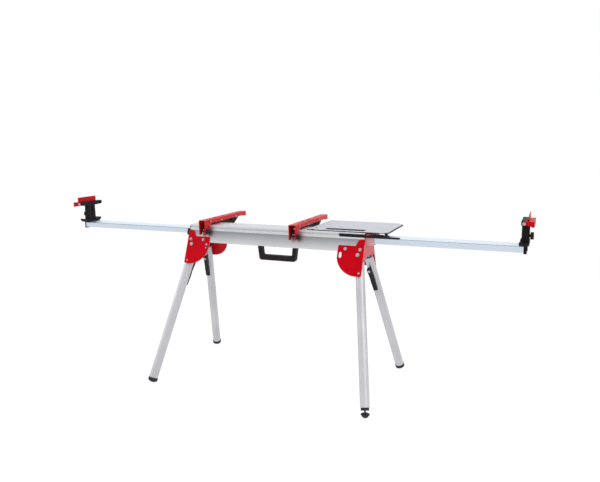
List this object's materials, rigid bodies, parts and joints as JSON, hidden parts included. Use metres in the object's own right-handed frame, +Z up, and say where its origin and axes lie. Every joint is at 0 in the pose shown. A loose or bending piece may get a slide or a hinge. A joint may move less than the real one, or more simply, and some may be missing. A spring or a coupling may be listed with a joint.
{
  "type": "folding miter saw stand",
  "caption": "Folding stand for a miter saw: a beam on four splayed tube legs, sliding side arms with end supports and flip stops, two clamp-on tool mounts, a side shelf and a carry handle.",
  "frame": {"origin": "on the floor under the middle of the beam", "axes": "+X along the beam to the right end, +Y to the rear, +Z up"},
  "size_m": [2.504, 0.7296, 0.927],
  "materials": {
    "beam_aluminium": "satin extruded",
    "red_paint": "gloss powder coat",
    "zinc_steel": "zinc plated",
    "grey_plastic": "moulded",
    "collar_plastic": "moulded grey",
    "black_plastic": "moulded, fine texture",
    "handle_plastic": "moulded, soft grip",
    "shelf_steel": "light grey coat",
    "black_steel": "satin black coat",
    "leg_aluminium": "satin extruded",
    "cast_grey": "cast",
    "foot_rubber": "moulded",
    "lever_plastic": "moulded",
    "arm_zinc": "bright zinc",
    "red_stop": "powder coat",
    "red_mount": "powder coat",
    "red_lever": "moulded",
    "knob_plastic": "moulded"
  },
  "bodies": {
    "stand_frame": {"main_beam": "beam_aluminium", "beam_tray": "beam_aluminium", "bracket_left": "red_paint", "bracket_right": "red_paint", "bracket_bolts": "zinc_steel", "leg_pivot_bolts": "zinc_steel", "collar_left": "grey_plastic", "collar_right": "collar_plastic", "arm_glides": "black_plastic", "carry_handle": "handle_plastic", "handle_screws": "zinc_steel", "shelf_plate": "shelf_steel", "shelf_rail": "black_steel", "shelf_screws": "zinc_steel"},
    "leg_fr": {"leg_tube_fr": "leg_aluminium", "leg_hip_fr": "cast_grey", "leg_foot_fr": "foot_rubber"},
    "lever_fr": {"lock_lever_fr": "lever_plastic"},
    "lock_fr": {"lock_pin_fr": "zinc_steel"},
    "leg_fl": {"leg_tube_fl": "leg_aluminium", "leg_hip_fl": "cast_grey", "leg_foot_fl": "foot_rubber"},
    "lever_fl": {"lock_lever_fl": "lever_plastic"},
    "lock_fl": {"lock_pin_fl": "zinc_steel"},
    "leg_rr": {"leg_tube_rr": "leg_aluminium", "leg_hip_rr": "cast_grey", "leg_foot_rr": "foot_rubber"},
    "lever_rr": {"lock_lever_rr": "lever_plastic"},
    "lock_rr": {"lock_pin_rr": "zinc_steel"},
    "leg_rl": {"leg_tube_rl": "leg_aluminium", "leg_hip_rl": "cast_grey", "leg_foot_rl": "foot_rubber"},
    "lever_rl": {"lock_lever_rl": "lever_plastic"},
    "lock_rl": {"lock_pin_rl": "zinc_steel"},
    "level_foot": {"levelling_screw": "foot_rubber"},
    "arm_right_body": {"arm_right": "arm_zinc", "support_base_right": "black_plastic"},
    "post_right": {"support_post_right": "black_plastic", "stop_pin_right": "zinc_steel"},
    "knob_right": {"support_knob_right": "knob_plastic"},
    "stop_right": {"flip_stop_right": "red_stop"},
    "arm_lock_right_body": {"arm_lock_right": "red_lever"},
    "mount_right": {"mount_bar_right": "red_mount", "mount_hook_right": "black_steel", "mount_bolts_right": "zinc_steel"},
    "clamp_right": {"mount_jaw_right": "black_steel", "mount_knob_right": "knob_plastic"},
    "arm_left_body": {"arm_left": "arm_zinc", "support_base_left": "black_plastic"},
    "post_left": {"support_post_left": "black_plastic", "stop_pin_left": "zinc_steel"},
    "knob_left": {"support_knob_left": "knob_plastic"},
    "stop_left": {"flip_stop_left": "red_stop"},
    "arm_lock_left_body": {"arm_lock_left": "knob_plastic"},
    "mount_left": {"mount_bar_left": "red_mount", "mount_hook_left": "black_steel", "mount_bolts_left": "zinc_steel"},
    "clamp_left": {"mount_jaw_left": "black_steel", "mount_knob_left": "knob_plastic"}
  },
  "joints": [
    {"name": "fold_fr", "type": "hinge", "parent": "stand_frame", "child": "leg_fr", "pos_m": [0.463, -0.0663, 0.69265], "axis": [0, 0.9285, -0.3714], "range_deg": [0, 91]},
    {"name": "unlock_lever_fr", "type": "hinge", "parent": "leg_fr", "child": "lever_fr", "pos_m": [0.48412, -0.08843, 0.55789], "axis": [0.9877, 0.0581, 0.1452], "range_deg": [0, 8.65]},
    {"name": "lock_pin_slide_fr", "type": "slide", "parent": "leg_fr", "child": "lock_fr", "axis": [0, -0.9285, 0.3714], "range_m": [0, 0.007]},
    {"name": "fold_fl", "type": "hinge", "parent": "stand_frame", "child": "leg_fl", "pos_m": [-0.463, -0.0663, 0.69265], "axis": [0, -0.9285, 0.3714], "range_deg": [0, 101]},
    {"name": "unlock_lever_fl", "type": "hinge", "parent": "leg_fl", "child": "lever_fl", "pos_m": [-0.48412, -0.08843, 0.55789], "axis": [0.9877, -0.0581, -0.1452], "range_deg": [0, 8.65]},
    {"name": "lock_pin_slide_fl", "type": "slide", "parent": "leg_fl", "child": "lock_fl", "axis": [0, -0.9285, 0.3714], "range_m": [0, 0.007]},
    {"name": "fold_rr", "type": "hinge", "parent": "stand_frame", "child": "leg_rr", "pos_m": [0.463, 0.0663, 0.69265], "axis": [0, 0.9285, 0.3714], "range_deg": [0, 91]},
    {"name": "unlock_lever_rr", "type": "hinge", "parent": "leg_rr", "child": "lever_rr", "pos_m": [0.48412, 0.08843, 0.55789], "axis": [-0.9877, 0.0581, -0.1452], "range_deg": [0, 8.65]},
    {"name": "lock_pin_slide_rr", "type": "slide", "parent": "leg_rr", "child": "lock_rr", "axis": [0, 0.9285, 0.3714], "range_m": [0, 0.007]},
    {"name": "fold_rl", "type": "hinge", "parent": "stand_frame", "child": "leg_rl", "pos_m": [-0.463, 0.0663, 0.69265], "axis": [0, -0.9285, -0.3714], "range_deg": [0, 101]},
    {"name": "unlock_lever_rl", "type": "hinge", "parent": "leg_rl", "child": "lever_rl", "pos_m": [-0.48412, 0.08843, 0.55789], "axis": [-0.9877, -0.0581, 0.1452], "range_deg": [0, 8.65]},
    {"name": "lock_pin_slide_rl", "type": "slide", "parent": "leg_rl", "child": "lock_rl", "axis": [0, 0.9285, 0.3714], "range_m": [0, 0.007]},
    {"name": "level_screw_travel", "type": "slide", "parent": "leg_fr", "child": "level_foot", "axis": [0.1564, -0.3668, -0.9171], "range_m": [-0.004, 0.012]},
    {"name": "arm_right_slide", "type": "slide", "parent": "stand_frame", "child": "arm_right_body", "axis": [-1, 0, 0], "range_m": [0, 0.52]},
    {"name": "post_right_height", "type": "slide", "parent": "arm_right_body", "child": "post_right", "axis": [0, 0, 1], "range_m": [0, 0.018]},
    {"name": "knob_right_turn", "type": "hinge", "parent": "arm_right_body", "child": "knob_right", "pos_m": [1.235, 0, 0.82595], "axis": [1, 0, 0], "range_deg": [0, 180]},
    {"name": "stop_right_flip", "type": "hinge", "parent": "post_right", "child": "stop_right", "pos_m": [1.209, 0, 0.88995], "axis": [0, -1, 0], "range_deg": [0, 90]},
    {"name": "arm_lock_right_turn", "type": "hinge", "parent": "stand_frame", "child": "arm_lock_right_body", "pos_m": [0.504, -0.0455, 0.79795], "axis": [-1, 0, 0], "range_deg": [0, 60]},
    {"name": "mount_right_slide", "type": "slide", "parent": "stand_frame", "child": "mount_right", "axis": [-1, 0, 0], "range_m": [0, 0.2]},
    {"name": "clamp_right_turn", "type": "hinge", "parent": "mount_right", "child": "clamp_right", "pos_m": [0.123, -0.087, 0.77495], "axis": [1, 0, 0], "range_deg": [0, 25]},
    {"name": "arm_left_slide", "type": "slide", "parent": "stand_frame", "child": "arm_left_body", "axis": [1, 0, 0], "range_m": [0, 0.675]},
    {"name": "post_left_height", "type": "slide", "parent": "arm_left_body", "child": "post_left", "axis": [0, 0, 1], "range_m": [0, 0.018]},
    {"name": "knob_left_turn", "type": "hinge", "parent": "arm_left_body", "child": "knob_left", "pos_m": [-1.235, 0, 0.82595], "axis": [-1, 0, 0], "range_deg": [0, 180]},
    {"name": "stop_left_flip", "type": "hinge", "parent": "post_left", "child": "stop_left", "pos_m": [-1.209, 0, 0.88995], "axis": [0, 1, 0], "range_deg": [0, 90]},
    {"name": "arm_lock_left_turn", "type": "hinge", "parent": "stand_frame", "child": "arm_lock_left_body", "pos_m": [-0.495, -0.06, 0.77395], "axis": [-1, 0, 0], "range_deg": [0, 70]},
    {"name": "mount_left_slide", "type": "slide", "parent": "stand_frame", "child": "mount_left", "axis": [1, 0, 0], "range_m": [0, 0.2]},
    {"name": "clamp_left_turn", "type": "hinge", "parent": "mount_left", "child": "clamp_left", "pos_m": [-0.3925, -0.087, 0.77495], "axis": [1, 0, 0], "range_deg": [0, 25]}
  ],
  "couplings": [
    {"joint": "lock_pin_slide_fr", "follows": "unlock_lever_fr", "m_per_rad": 0.046353},
    {"joint": "lock_pin_slide_fl", "follows": "unlock_lever_fl", "m_per_rad": 0.046353},
    {"joint": "lock_pin_slide_rr", "follows": "unlock_lever_rr", "m_per_rad": 0.046353},
    {"joint": "lock_pin_slide_rl", "follows": "unlock_lever_rl", "m_per_rad": 0.046353}
  ]
}
